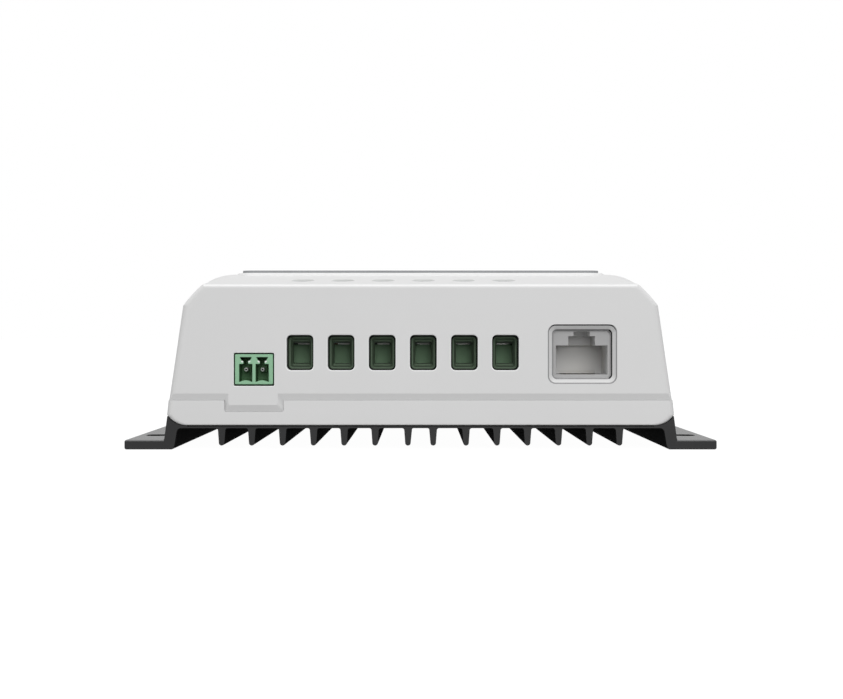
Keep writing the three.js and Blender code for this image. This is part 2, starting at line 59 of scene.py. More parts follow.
def material(name, colour, rough, metal=0.0, spec=0.5, fine=4200.0, broad=70.0, tint=0.035, rough_var=0.06,
             bump=0.25, depth=0.00002, stretch=(1, 1, 1), second=None, lines=None, coat=0.0, alpha=None, transmission=0.0):
    """A node material: broad mottling of the colour, fine grain in the roughness and the bump, and optional drawn lines."""
    m = bpy.data.materials.new(name)
    m.use_nodes = True
    nt = m.node_tree
    n, link = nt.nodes, nt.links.new
    bsdf = n["Principled BSDF"]
    bsdf.inputs["Metallic"].default_value = metal
    bsdf.inputs["Specular IOR Level"].default_value = spec
    bsdf.inputs["Coat Weight"].default_value = coat
    if transmission:
        bsdf.inputs["Transmission Weight"].default_value = transmission
    tc = n.new("ShaderNodeTexCoord")
    mp = n.new("ShaderNodeMapping")
    mp.inputs["Scale"].default_value = stretch
    link(tc.outputs["Object"], mp.inputs["Vector"])
    big = n.new("ShaderNodeTexNoise")
    big.inputs["Scale"].default_value = broad
    big.inputs["Detail"].default_value = 5
    link(mp.outputs["Vector"], big.inputs["Vector"])
    small = n.new("ShaderNodeTexNoise")
    small.inputs["Scale"].default_value = fine
    small.inputs["Detail"].default_value = 3
    small.inputs["Roughness"].default_value = 0.6
    link(mp.outputs["Vector"], small.inputs["Vector"])
    ramp = n.new("ShaderNodeValToRGB")
    other = second or tuple(c * (1 - 2 * tint) for c in colour[:3]) + (1,)
    ramp.color_ramp.elements[0].position, ramp.color_ramp.elements[1].position = 0.3, 0.7
    ramp.color_ramp.elements[0].color = other
    ramp.color_ramp.elements[1].color = colour
    link(big.outputs["Fac"], ramp.inputs["Fac"])
    link(ramp.outputs["Color"], bsdf.inputs["Base Color"])
    mr = n.new("ShaderNodeMapRange")
    mr.inputs["To Min"].default_value, mr.inputs["To Max"].default_value = rough - rough_var, rough + rough_var
    link(small.outputs["Fac"], mr.inputs["Value"])
    link(mr.outputs["Result"], bsdf.inputs["Roughness"])
    height = small.outputs["Fac"]
    if lines:  # drawn or moulded lines: (mapping scale, strength)
        mp2 = n.new("ShaderNodeMapping")
        mp2.inputs["Scale"].default_value = lines[0]
        link(tc.outputs["Object"], mp2.inputs["Vector"])
        ln = n.new("ShaderNodeTexNoise")
        ln.inputs["Scale"].default_value = 1.0
        ln.inputs["Detail"].default_value = 4
        link(mp2.outputs["Vector"], ln.inputs["Vector"])
        mix = n.new("ShaderNodeMix")
        mix.data_type = "FLOAT"
        mix.inputs["Factor"].default_value = lines[1]
        link(small.outputs["Fac"], mix.inputs["A"])
        link(ln.outputs["Fac"], mix.inputs["B"])
        height = mix.outputs["Result"]
    bp = n.new("ShaderNodeBump")
    bp.inputs["Strength"].default_value = bump
    bp.inputs["Distance"].default_value = depth
    link(height, bp.inputs["Height"])
    link(bp.outputs["Normal"], bsdf.inputs["Normal"])
    if alpha is not None:
        bsdf.inputs["Alpha"].default_value = alpha
    return m


SHELL_C = rgb(229, 229, 229)
M = {
    "shell": material("shell_plastic", SHELL_C, 0.42, spec=0.4, tint=0.006, bump=0.12, depth=0.00002),
    # a lighter tone for the lips of the openings: painted highlight
    "shell_edge": material("shell_lip_painted_highlight", rgb(250, 251, 250), 0.3, spec=0.5, tint=0.004, bump=0.05, depth=0.00001),
    # a darker tone for the step of the jack's recess: painted shade
    "shell_line": material("shell_recess_painted_shade", rgb(158, 158, 159), 0.6, spec=0.2, tint=0.02, bump=0.1, depth=0.00001),
    # a lighter tone for the crest over the end face: painted highlight
    "shell_crest_painted_highlight": material("shell_crest_painted_highlight", rgb(239, 239, 239), 0.34, spec=0.5, tint=0.01, bump=0.1, depth=0.00001),
    # a darker tone for the seam ledge: painted shadow
    "shell_seam": material("shell_seam_painted_shadow", rgb(165, 165, 166), 0.7, spec=0.1, tint=0.03, bump=0.1, depth=0.00001),
    "shell_gap": material("shell_recess_shadow", rgb(44, 44, 45), 0.7, spec=0.1, tint=0.03, bump=0.1, depth=0.00001),
    # a darker tone for the walls of the screw holes: painted shade
    "shell_hole": material("shell_hole_painted_shade", rgb(212, 213, 212), 0.6, spec=0.2, tint=0.02, bump=0.1, depth=0.00001),
    "sink": material("anodised_black", rgb(40, 40, 41), 0.5, spec=0.35, tint=0.12, fine=2600, bump=0.15, depth=0.00002,
                     lines=((900, 6, 900), 0.7)),
    # lighter copy of the anodising for the flange tops: painted light
    "sink_top": material("anodised_black_flange_painted_light", rgb(80, 80, 81), 0.24, spec=0.75, tint=0.1, fine=2600, bump=0.12,
                         depth=0.00002, lines=((900, 6, 900), 0.75)),
    # darker, matt copy of the anodising for the fins and slots: painted shade
    "sink_channel": material("anodised_black_channel_painted_shade", rgb(24, 24, 25), 0.9, spec=0.06, tint=0.12, fine=2600, bump=0.15, depth=0.00002,
                             lines=((900, 6, 900), 0.7)),
    "panel": material("panel_sheet", rgb(60, 63, 66), 0.6, spec=0.14, tint=0.05, fine=5200, bump=0.12, depth=0.00001),
    "panel_edge": material("panel_sheet_edge", rgb(150, 152, 154), 0.5, spec=0.3, tint=0.04, fine=5200, bump=0.1, depth=0.00001),
    "panel_print": material("panel_print", rgb(176, 180, 182), 0.5, tint=0.03, fine=6000, bump=0.1, depth=0.00001),
    "clear": material("clear_window", rgb(150, 158, 152), 0.07, spec=0.5, tint=0.01, rough_var=0.03, bump=0.02,
                      depth=0.000004, alpha=0.16, coat=0.3),
    "key": material("key_plastic", rgb(186, 189, 192), 0.6, spec=0.4, tint=0.02, bump=0.3, depth=0.00003),
    "key_mark": material("key_mark", rgb(58, 62, 66), 0.55, tint=0.05),
    "green": material("header_green", rgb(150, 200, 162), 0.4, spec=0.4, tint=0.04, bump=0.15),
    "block": material("terminal_green", rgb(78, 100, 78), 0.5, spec=0.3, tint=0.08, bump=0.2),
    # a lighter green for the funnel walls: painted light
    "block_wall": material("terminal_green_funnel_painted_light", rgb(100, 118, 98), 0.45, spec=0.35, tint=0.06, bump=0.15),
    # a lighter green for the rear walls of the entries: painted light
    "block_back": material("terminal_green_rear_painted_light", rgb(119, 151, 119), 0.55, spec=0.2, tint=0.06, bump=0.15),
    # a darker tone for the contact bar's front end: painted shade
    "bar_end": material("contact_bar_end_painted_shade", rgb(102, 112, 102), 0.6, spec=0.2, tint=0.06, bump=0.2),
    # near-black tone for lips and recessed centres: painted shadow
    "lip_painted_shadow": material("terminal_green_lip_painted_shadow", rgb(26, 31, 27), 0.6, spec=0.15, tint=0.08, bump=0.15),
    # a darker green for the header's cavities: painted shade
    "green_painted_shade": material("header_green_cavity_painted_shade", rgb(92, 138, 94), 0.55, spec=0.2, tint=0.06, bump=0.15),
    # a near-white green for the slivers at the cavity corners: painted highlight
    "green_painted_highlight": material("header_tip_painted_highlight", rgb(236, 246, 238), 0.35, spec=0.5, tint=0.02, bump=0.05),
    "pin": material("pin_plating", rgb(200, 205, 200), 0.5, metal=0.6, spec=0.4, tint=0.06, fine=2500, bump=0.1),
    "steel": material("zinc_steel", rgb(196, 199, 202), 0.32, metal=1.0, tint=0.06, fine=3000, bump=0.12, second=rgb(176, 176, 172)),
    "tin": material("tinned_metal", rgb(206, 207, 203), 0.3, metal=1.0, tint=0.05, fine=2500, bump=0.1),
    "gold": material("gold_contact", rgb(198, 188, 160), 0.35, metal=1.0, tint=0.05, fine=2500, bump=0.08),
    "pcb": material("solder_mask", rgb(24, 84, 52), 0.38, spec=0.5, broad=260, tint=0.14, fine=1500, bump=0.3, depth=0.00004),
    "jack": material("jack_plastic", rgb(184, 184, 184), 0.5, spec=0.35, tint=0.015, bump=0.15),
    # a lighter tone for the jack's cavity: painted light
    "jack_inner": material("jack_cavity_painted_light", rgb(224, 224, 224), 0.55, spec=0.3, tint=0.015, bump=0.15),
    "black": material("black_moulding", rgb(34, 34, 36), 0.52, tint=0.1, bump=0.35, depth=0.00003),
    "lcd": material("lcd_glass", rgb(150, 162, 146), 0.12, spec=0.5, tint=0.02, bump=0.03, depth=0.000005),
    "lcd_mark": material("lcd_segments", rgb(112, 124, 110), 0.2, tint=0.03, bump=0.03, depth=0.000005),
    "white": material("diffuser_white", rgb(230, 231, 226), 0.45, tint=0.015, bump=0.1),
    "led_green": material("light_guide_tip", rgb(214, 226, 214), 0.25, spec=0.5, tint=0.02, bump=0.05),
    "copper": material("enamelled_copper", rgb(172, 92, 44), 0.3, metal=0.85, tint=0.12, lines=((1500, 1500, 60), 0.8),
                       bump=0.8, depth=0.0001),
    "ferrite": material("ferrite_core", rgb(62, 62, 60), 0.75, tint=0.12, fine=2200, bump=0.5, depth=0.00004),
    "can": material("capacitor_sleeve", rgb(34, 38, 52), 0.36, tint=0.08, bump=0.12),
    "pad": material("thermal_pad", rgb(150, 160, 170), 0.85, tint=0.05, fine=1800, bump=0.4, depth=0.00003),
    "ribbon": material("ribbon_insulation", rgb(168, 172, 174), 0.55, tint=0.05, lines=((6, 5000, 6), 0.9), bump=0.6, depth=0.00005),
}

# ------------------------------------------------------------------ mesh helpers


def obj_from(name, verts, faces, mat=None):
    me = bpy.data.meshes.new(name)
    me.from_pydata([(x * MM, y * MM, z * MM) for x, y, z in verts], [], faces)
    o = bpy.data.objects.new(name, me)
    scene.collection.objects.link(o)
    bm = bmesh.new()
    bm.from_mesh(me)
    bmesh.ops.remove_doubles(bm, verts=bm.verts, dist=1e-7)
    bmesh.ops.recalc_face_normals(bm, faces=bm.faces)
    bm.to_mesh(me)
    bm.free()
    if mat is not None:
        me.materials.append(mat)
    return o


def loft(name, rings, mat=None):
    """Rings of equal length joined side by side, with a flat face on each end."""
    n = len(rings[0])
    verts = [p for r in rings for p in r]
    faces = [(k * n + i, k * n + (i + 1) % n, (k + 1) * n + (i + 1) % n, (k + 1) * n + i)
             for k in range(len(rings) - 1) for i in range(n)]
    faces.append(tuple(range(n)))
    faces.append(tuple(range((len(rings) - 1) * n, len(rings) * n))[::-1])
    return obj_from(name, verts, faces, mat)


def rrect(cx, cy, w, h, r, n=8):
    r = max(0.001, min(r, w / 2 - 0.001, h / 2 - 0.001))
    out = []
    for sx, sy, q in ((1, 1, 0), (-1, 1, 1), (-1, -1, 2), (1, -1, 3)):
        for i in range(n + 1):
            a = (q + i / n) * math.pi / 2
            out.append((cx + sx * (w / 2 - r) + r * math.cos(a), cy + sy * (h / 2 - r) + r * math.sin(a)))
    return out


def in_xz(pts, y):
    return [(a, y, b) for a, b in pts]


def in_xy(pts, z):
    return [(a, b, z) for a, b in pts]


def box_obj(name, x0, x1, y0, y1, z0, z1, mat=None):
    return loft(name, [in_xy([(x1, y1), (x0, y1), (x0, y0), (x1, y0)], z) for z in (z0, z1)], mat)


def ring_cyl(x, y, r, z, n):
    return [(x + r * math.cos(2 * math.pi * i / n), y + r * math.sin(2 * math.pi * i / n), z) for i in range(n)]


def lathe_z(name, x, y, profile, mat=None, n=48):
    """A solid of revolution about an upright axis; profile is (radius, z) from the bottom centre to the top centre."""
    return loft(name, [ring_cyl(x, y, max(r, 0.001), z, n) for r, z in profile], mat)


def bake(o):
    dg = bpy.context.evaluated_depsgraph_get()
    dg.update()
    me = bpy.data.meshes.new_from_object(o.evaluated_get(dg), preserve_all_data_layers=True, depsgraph=dg)
    o.modifiers.clear()
    old = o.data
    o.data = me
    bpy.data.meshes.remove(old)
    return o


def join(objs):
    """One object holding the meshes of all of objs."""
    bm = bmesh.new()
    for o in objs:
        bm.from_mesh(o.data)
    keep = objs[0]
    mats = list(keep.data.materials)
    me = bpy.data.meshes.new(keep.name)
    bm.to_mesh(me)
    bm.free()
    for m in mats:
        me.materials.append(m)
    for o in objs[1:]:
        d = o.data
        bpy.data.objects.remove(o)
        bpy.data.meshes.remove(d)
    old = keep.data
    keep.data = me
    bpy.data.meshes.remove(old)
    return keep


def boolean(o, others, op):
    for i, c in enumerate(others):
        md = o.modifiers.new(f"b{i}", "BOOLEAN")
        md.operation = op
        md.solver = "EXACT"
        md.object = c
    bake(o)
    for c in others:
        d = c.data
        bpy.data.objects.remove(c)
        bpy.data.meshes.remove(d)
    return o


def cut(o, cutters):
    return boolean(o, [join(cutters)] if len(cutters) > 1 else cutters, "DIFFERENCE")


def unite(o, others):
    return boolean(o, others, "UNION")


def bevel(o, width, segments=2, angle=40):
    md = o.modifiers.new("bevel", "BEVEL")
    md.width = width * MM
    md.segments = segments
    md.limit_method = "ANGLE"
    md.angle_limit = math.radians(angle)
    md.use_clamp_overlap = True
    md.miter_outer = "MITER_ARC"
    return bake(o)


def tidy(o, angle=32, crisp=None):
    bm = bmesh.new()
    bm.from_mesh(o.data)
    bmesh.ops.remove_doubles(bm, verts=bm.verts, dist=2e-6)
    bmesh.ops.dissolve_degenerate(bm, dist=1e-6, edges=bm.edges)
    bmesh.ops.triangulate(bm, faces=[f for f in bm.faces if len(f.verts) > 4])
    bm.to_mesh(o.data)
    bm.free()
    o.data.shade_smooth()
    o.data.set_sharp_from_angle(angle=math.radians(angle))
    if crisp:
        at = [v.co / MM for v in o.data.vertices]
        for e in o.data.edges:
            if crisp(at[e.vertices[0]], at[e.vertices[1]]):
                e.use_edge_sharp = True
    md = o.modifiers.new("wn", "WEIGHTED_NORMAL")
    md.keep_sharp = True
    md.weight = 100
    return bake(o)


def place(o, nodes=(), body=CASE, mat=None, angle=32, crisp=None):
    tidy(o, angle, crisp)
    if mat is not None:
        o.data.materials.clear()
        o.data.materials.append(mat)
    if nodes:
        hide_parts(*nodes)
    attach(o, body)
    return o


def recolour(o, mat, test):
    """Give the faces that pass test(centre in mm, normal) another material."""
    o.data.materials.append(mat)
    k = len(o.data.materials) - 1
    for f in o.data.polygons:
        if test(f.center / MM, f.normal):
            f.material_index = k


def flare(ring_of, y0, y1, r, steps=4, outward=0.4):
    """Rings for a cutter through a wall whose mouth at y0 is rounded with radius r. ring_of(offset) gives an outline."""
    rings = [in_xz(ring_of(r), y0 - outward)]
    for i in range(steps + 1):
        t = r * i / steps
        rings.append(in_xz(ring_of(r - math.sqrt(max(r * r - (r - t) ** 2, 0))), y0 + t))
    rings.append(in_xz(ring_of(0), y1))
    return rings


# ------------------------------------------------------------------ shared sizes (as in the CAD)
LENGTH, END = 192.0, 96.0
SEAM0, SEAM1 = 11.45, 13.0
PLATEAU, PAD_TOP = 41.4, 41.72
POLE_X = [-27.94 + 9.525 * i for i in range(6)]
SCREW_Y = -84.9
HEAD_X, JACK_X, JACK_Y = -38.6, 37.5, -93.7
BOSS_X, BOSS_Y = 50.6, 86.0
KEYS = {"up": -27, "down": -9, "enter": 9, "back": 27}
KEY_Y = -22.0
FINS = [2.93, 10.54, 17.72, 24.81, 31.99, 39.14, 46.12]


def side_x(z):
    return 55.1 + (33.3 - z) * 0.146


CORNER = [(0.0, 4.05, 4.4, 1.06), (0.25, 4.3, 4.75, 1.07), (0.8, 4.5, 5.0, 1.08), (10.8, 6.2, 5.3, 1.4), (21.5, 8.6, 5.8, 1.85),
          (25.9, 9.5, 6.1, 1.98), (27.5, 9.6, 6.2, 2.0), (96.0, 9.6, 6.2, 2.0)]
REAR_CORNER = [(0.0, 4.05, 4.4, 1.0), (0.25, 4.3, 4.75, 1.0), (0.8, 4.5, 5.0, 1.02), (11.5, 9.2, 6.1, 1.95), (13.0, 9.6, 6.2, 2.0), (96.0, 9.6, 6.2, 2.0)]


def lerp_table(table, d):
    for a, b in zip(table, table[1:]):
        if d <= b[0]:
            t = (d - a[0]) / (b[0] - a[0])
            return [u + (v - u) * t for u, v in zip(a[1:], b[1:])]
    return list(table[-1][1:])


def hermite(t, p0, p1, m0, m1):
    return (2 * t**3 - 3 * t**2 + 1) * p0 + (t**3 - 2 * t**2 + t) * m0 + (3 * t**2 - 2 * t**3) * p1 + (t**3 - t**2) * m1


def top_z(d):
    """Height of the cover's roof at a distance d from the terminal end."""
    rear = d > LENGTH / 2
    e = LENGTH - d if rear else d
    start, stop, slope = (10.6, 13.2, 0.2735) if rear else (25.0, 28.0, 0.118)
    if e < 0.8:
        return 37.5 + math.sqrt(max(0.64 - (0.8 - e) ** 2, 0))
    if e < start:
        return 38.3 + slope * (e - 0.8)
    if e < stop:
        t, w = (e - start) / (stop - start), stop - start
        return hermite(t, 38.3 + slope * (start - 0.8), PLATEAU, slope * w, 0.0)
    return PLATEAU


def end_inset(d, r=1.2):
    e = min(d, LENGTH - d)
    return 0.0 if e >= r else r - math.sqrt(r * r - (r - e) ** 2)


def cover_ring(d, inset=0.0, drop=0.0, bottom=None, n=14):
    e_end = min(d, LENGTH - d)
    w, ch, p = lerp_table(REAR_CORNER if d > LENGTH / 2 else CORNER, e_end)
    zt = top_z(d) - drop
    zc, e = zt - ch, inset + end_inset(d)
    half = []
    if bottom is None:
        zb = SEAM1 - 0.02 - min(e_end / 0.42, 1.0) * (SEAM1 - 0.02 - SEAM0)
        half += [(side_x(zb) - e + 0.05 * (SEAM1 - zb) / 1.55, zb), (side_x(SEAM1) - e, SEAM1)]
    else:
        half.append((side_x(bottom) - e, bottom))
    for i in range(n + 1):
        a = i / n * math.pi / 2
        c, s = max(math.cos(a), 0.0), math.sin(a)
        half.append((side_x(zc) - e - w * (1 - c ** (2 / p)), zc + ch * s ** (2 / p)))
    y = -END + d
    return [(x, y, z) for x, z in half] + [(-x, y, z) for x, z in half[::-1]]


# ------------------------------------------------------------------ upper cover
front = [0, 0.04, 0.12, 0.24, 0.42, 0.6, 0.8, 1.0, 1.2]
mid = [4, 7.5, 10.8, 14.5, 18, 21.6, 25.0, 25.6, 26.2, 26.8, 27.4, 28.0, 30, 50, 75, 96, 120, 145, 165, 175, 178.8, 179.4, 180.0, 180.6, 181.4, 184, 187.5]
cover = loft("cover", [cover_ring(d) for d in front + mid + [LENGTH - d for d in front[::-1]]], M["shell"])
inner = loft("inner", [cover_ring(d, 2.0, 2.0, 9.0, 6) for d in [2.0, 10.8, 21.6, 25.0, 28.0, 96, 178.8, 181.4, 190.0]])
cover = cut(cover, [inner])
pad = [in_xy(rrect(0, 4.4, 90.2, 154.6, 4.5, 10), 40.0)]
for i in range(9):
    a = i / 8 * math.pi / 2
    o = 0.9 * (1 - math.cos(a))
    pad.append(in_xy(rrect(0, 4.4, 90.2 - 2 * o, 154.6 - 2 * o, 4.5 - o, 10), 40.9 + (PAD_TOP - 40.9) * math.sin(a)))
cover = unite(cover, [loft("pad", pad)])
tab = []
for y, x0, x1, z0 in ((-END, -44.5, -33.1, 10.3), (-END + 0.55, -45.4, -31.7, 8.77), (-END + 2.0, -45.4, -31.7, 8.77)):
    tab.append(in_xz(rrect((x0 + x1) / 2, (z0 + 13.8) / 2, x1 - x0, 13.8 - z0, 0.45, 5), y))
cover = unite(cover, [loft("tab", tab)])
cutters = []
for x in POLE_X:
    cutters.append(loft("w", flare(lambda o, x=x: rrect(x, 22.45, 6.18 + 2 * o, 8.16 + 2 * o, 1.05 + o), -END, -93.0, 0.22)))
    zs = top_z(END + SCREW_Y)
    hole = []
    for h, r in ((2.0, 2.95), (0.02, 2.95), (-0.1, 2.8), (-0.3, 2.66), (-5.0, 2.65)):
        hole.append([(x + r * math.cos(a), SCREW_Y + r * math.sin(a), zs + h + 0.118 * r * math.sin(a))
                     for a in (2 * math.pi * i / 40 for i in range(40))])
    cutters.append(loft("h", hole))
cutters.append(loft("hd", flare(lambda o: rrect(HEAD_X, 18.555, 9.36 + 2 * o, 7.67 + 2 * o, 0.3 + o, 4), -END, -93.0, 0.15)))
jack_rings = [in_xz(rrect(JACK_X, 22.1, w, h, r, 8), y) for y, w, h, r in
              ((-96.5, 16.05, 13.8, 1.8), (-96.0, 16.05, 13.8, 1.8), (-95.93, 15.75, 13.5, 1.7), (-95.78, 15.5, 13.22, 1.6),
               (-95.05, 13.98, 11.66, 1.15), (-94.9, 13.72, 11.4, 1.05), (-94.7, 13.45, 11.15, 1.0), (-93.0, 13.45, 11.15, 1.0))]
cutters.append(loft("jk", jack_rings))
cutters.append(loft("seat", [in_xy(rrect(0, 4.5, 87.7, 149.3, 3.2), z) for z in (41.0, 45)]))
cutters.append(box_obj("lcdhole", -30.5, 30.5, 8.5, 47.5, 38, 44))
for x in KEYS.values():
    cutters.append(loft("k", [in_xy(rrect(x, KEY_Y, 12.7, 7.7, 3.6), z) for z in (38, 44)]))
for x in (-18, 0, 18):
    cutters.append(lathe_z("l", x, 0, [(1.8, 38), (1.8, 44)], n=24))
cover = cut(cover, cutters)
bosses = [lathe_z("boss", sx * BOSS_X, sy * BOSS_Y, [(3.4, 8.35), (3.4, 35.2)], n=32) for sx in (-1, 1) for sy in (-1, 1)]
bosses = boolean(join(bosses), [loft("limit", [cover_ring(d, 1.0, 1.0, 8.0, 6) for d in [1.0, 10.8, 21.6, 28.0, 96, 178.8, 181.4, 191.0]])], "INTERSECT")
cover = unite(cover, [bosses])
cover = cut(cover, [lathe_z("bore", sx * BOSS_X, sy * BOSS_Y, [(1.8, 7), (1.8, 26)], n=20) for sx in (-1, 1) for sy in (-1, 1)])
cover.name = "casing_cover"
def cover_edges(a, b):
    if abs(a.z - 13.0) < 0.03 and abs(b.z - 13.0) < 0.03:
        return True
    if max(a.y, b.y) < -95.995:  # the flat end face
        return True
    if min(a.z, b.z) > 38.6 and max(a.y, b.y) < -80.0:  # rims of the screw holes
        return all(min(math.hypot(v.x - x, v.y - SCREW_Y) for x in POLE_X) < 3.02 for v in (a, b))
    return False


place(cover, ["upper_cover"], angle=30, crisp=cover_edges)
# painted highlight: the moulded lips of the openings get a lighter tone; the outer lip of the jack's recess lies in a
# narrow step
recolour(cover, M["shell_edge"], lambda c, n: c.y < -95.7 and -0.985 < n.y < 0.02 and 13.6 < c.z < 27.2 and abs(c.x) < 45 and
         (c.x < 27.5))
# a painted highlight: a lighter tone for the rounded crest over the end face, where the photograph has a bright line
recolour(cover, M["shell_crest_painted_highlight"], lambda c, n: c.y < -94.6 and c.z > 37.5 and abs(c.x) < 46 and -0.96 < n.y < -0.3 and n.z > 0.25)
# painted shade in the jack's recess: the step faces are toned darker, and those facing down or to the left get a dark
# painted shadow
near_jack = lambda c: abs(c.x - JACK_X) < 8.2 and abs(c.z - 22.1) < 7.0
recolour(cover, M["shell_line"], lambda c, n: c.y < -95.79 and n.y > -0.985 and near_jack(c) and n.z >= -0.3)
recolour(cover, M["shell_gap"], lambda c, n: c.y < -95.79 and n.y > -0.985 and near_jack(c) and n.z < -0.3)
recolour(cover, M["shell_line"], lambda c, n: -95.06 < c.y < -94.5 and near_jack(c) and n.x > -0.3)
recolour(cover, M["shell_gap"], lambda c, n: -95.06 < c.y < -94.5 and near_jack(c) and n.x <= -0.3)
# painted shade: the walls of the screw holes in the slope are toned darker than the shell
recolour(cover, M["shell_hole"], lambda c, n: c.z > 36.0 and abs(n.z) < 0.75 and
         min(math.hypot(c.x - x, c.y - SCREW_Y) for x in POLE_X) < 3.0)

# ------------------------------------------------------------------ lower housing


def corner_arc(r, x1, n=12):
    end = math.asin((x1 - 54.5) / r)
    return [(54.5 + r * math.sin(end * i / n), 10.7 - r * math.cos(end * i / n)) for i in range(n + 1)]


def skirt_ring(d):
    e_end = min(d, LENGTH - d)
    e = end_inset(d)
    lift = 0.0 if e_end >= 0.35 else 0.35 - math.sqrt(0.35**2 - (0.35 - e_end) ** 2)
    half = [(x - e, z + lift) for x, z in corner_arc(5.07, 58.84)] + [(58.5 - e, 11.36), (58.46 - e, 11.42)]
    y = -END + d
    return [(x, y, z) for x, z in half] + [(-x, y, z) for x, z in half[::-1]]


skirt = loft("skirt", [skirt_ring(d) for d in [0, 0.04, 0.1, 0.2, 0.35, 0.55, 0.8, 1.0, 1.2, 40, 96, 150]
                       + [LENGTH - d for d in [1.2, 1.0, 0.8, 0.55, 0.35, 0.2, 0.1, 0.04, 0]]], M["shell"])
skirt = cut(skirt, [box_obj("c1", -53.6, 53.6, -93.8, 93.8, 0, 20)])
skirt = cut(skirt, [box_obj("c2", -56.5, 56.5, -93.8, 93.8, 7.2, 20)])
skirt = cut(skirt, [loft("notch", [in_xz(rrect(-38.55, 14.45, 13.74, 11.4, 0.47, 5), y) for y in (-97, -93)])])
lugs = []
for sx in (-1, 1):
    for y in (-70, 0, 62):
        x0, x1 = (42, 56.8) if sx > 0 else (-56.8, -42)
        lugs.append(box_obj("lug", x0, x1, y - 3, y + 3, 8.5, 10.8))
skirt = unite(skirt, [join(lugs)])
skirt.name = "casing_skirt"
place(skirt, ["lower_housing"], angle=30)
# the narrow ledge along the seam and in the notch is toned darker: painted shadow of the joint
recolour(skirt, M["shell_seam"], lambda c, n: abs(c.y) > 93.7 and ((n.z > 0.7 and (abs(c.z - 11.42) < 0.06 or 8.4 < c.z < 9.6)) or
         (abs(n.x) > 0.6 and abs(c.x + 38.55) < 7.1 and c.z > 8.8 and abs(n.y) < 0.3)))

# ------------------------------------------------------------------ heat sink
half = []


def arc(cx, cz, r, a0, a1, n):
    return [(cx + r * math.cos(math.radians(a0 + (a1 - a0) * i / n)), cz + r * math.sin(math.radians(a0 + (a1 - a0) * i / n)))
            for i in range(n + 1)]


for x in FINS:  # fillet, flank, rounded tip, flank, fillet
    half += [(x - 1.35, 4.93)] + [(x - 1.35 + 0.5 * math.sin(a), 4.93 - 0.5 * (1 - math.cos(a))) for a in (0.4, 0.8, 1.2)] + [(x - 0.85, 4.38)]
    half += [(x - 0.64, 1.5)] + [(x - 0.64 * math.cos(a), 1.5 - 0.6 * math.sin(a)) for a in (0.35, 0.75, 1.15, 1.57, 1.99, 2.39, 2.79)] + [(x + 0.64, 1.5)]
    half += [(x + 0.85, 4.38)] + [(x + 1.35 - 0.5 * math.sin(a), 4.93 - 0.5 * (1 - math.cos(a))) for a in (1.2, 0.8, 0.4)] + [(x + 1.35, 4.93)]
half += [(55.6, 4.93)] + [(55.6 + 0.9 * math.sin(a), 4.93 - 0.9 * (1 - math.cos(a))) for a in (0.35, 0.75, 1.1)] + [(56.52, 4.2)]
half += [(57.02, 1.2), (57.12, 0.85), (57.3, 0.45), (57.5, 0.15), (57.7, 0.0), (68.25, 0.0), (68.5, 0.1), (68.62, 0.28), (68.65, 0.5), (68.65, 1.85), (68.58, 2.05), (68.4, 2.18),
         (68.2, 2.2), (59.8, 2.2), (59.55, 2.28), (59.42, 2.5)]
half += [(58.74, 7.7)] + corner_arc(5.13, 58.66, 14)[::-1] + [(53.3, 5.36), (53.3, 7.9)]
profile = [p for p in half] + [(-x, z) for x, z in half[::-1]]
# drop repeats where the outline crosses the centre
sink = loft("sink", [in_xz(profile, y) for y in (-95.6, 95.6)], M["sink"])
cutters = [box_obj("e", -54.2, 54.2, sy * 94.8 - 1.4, sy * 94.8 + 1.4, 5.36, 12) for sy in (-1, 1)]
for sx in (-1, 1):
    for sy in (-1, 1):
        slot_r = [in_xy(rrect(sx * 64.1, sy * 72.5, 5.0 + 2 * o, 8.0 + 2 * o, 2.49 + o, 10), z)
                  for z, o in ((-0.5, 0.25), (0.0, 0.25), (0.25, 0), (2.7, 0))]
        cutters.append(loft("s", slot_r))
        cutters.append(lathe_z("c", sx * BOSS_X, sy * BOSS_Y, [(3.1, 3.5), (3.1, 6.7), (1.8, 6.71), (1.8, 9.5)], n=32))
cutters.append(lathe_z("c", 0, 80, [(1.8, 4), (1.8, 10)], n=24))
for sx in (-1, 1):  # the sawn edge of each flange is broken along its top
    for sy in (-1, 1):
        pts = [(sy * 95.9, 1.6), (sy * 95.9, 2.6), (sy * 95.0, 2.6)]
        cutters.append(loft("ch", [[(x, y, z) for y, z in pts] for x in (sx * 59.5, sx * 69.5)]))
sink = cut(sink, cutters)
sink = bevel(sink, 0.12, 1, 50)
sink.name = "heatsink_extrusion"
tidy(sink, 32)
sink.data.materials.append(M["sink_top"])
sink.data.materials.append(M["sink_channel"])
for f in sink.data.polygons:
    c = f.center / MM
    # the flange tops get a lighter, glossier copy of the anodising: the gloss is real, the lighter colour is painted
    # light
    if f.normal.z > 0.45 and c.z < 2.6 and abs(c.x) > 59.3:
        f.material_index = 1
    # the walls of the mounting slots and the fins with the channels between them get a darker, matt copy: painted shade
    elif abs(f.normal.z) < 0.75 and c.z < 2.3 and abs(abs(c.x) - 64.1) < 2.8 and abs(abs(c.y) - 72.5) < 4.3:
        f.material_index = 2
    elif abs(f.normal.y) < 0.5 and (c.z < 5.1 and abs(c.x) < 57.7):
        f.material_index = 2
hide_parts("heat_sink")
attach(sink, CASE)

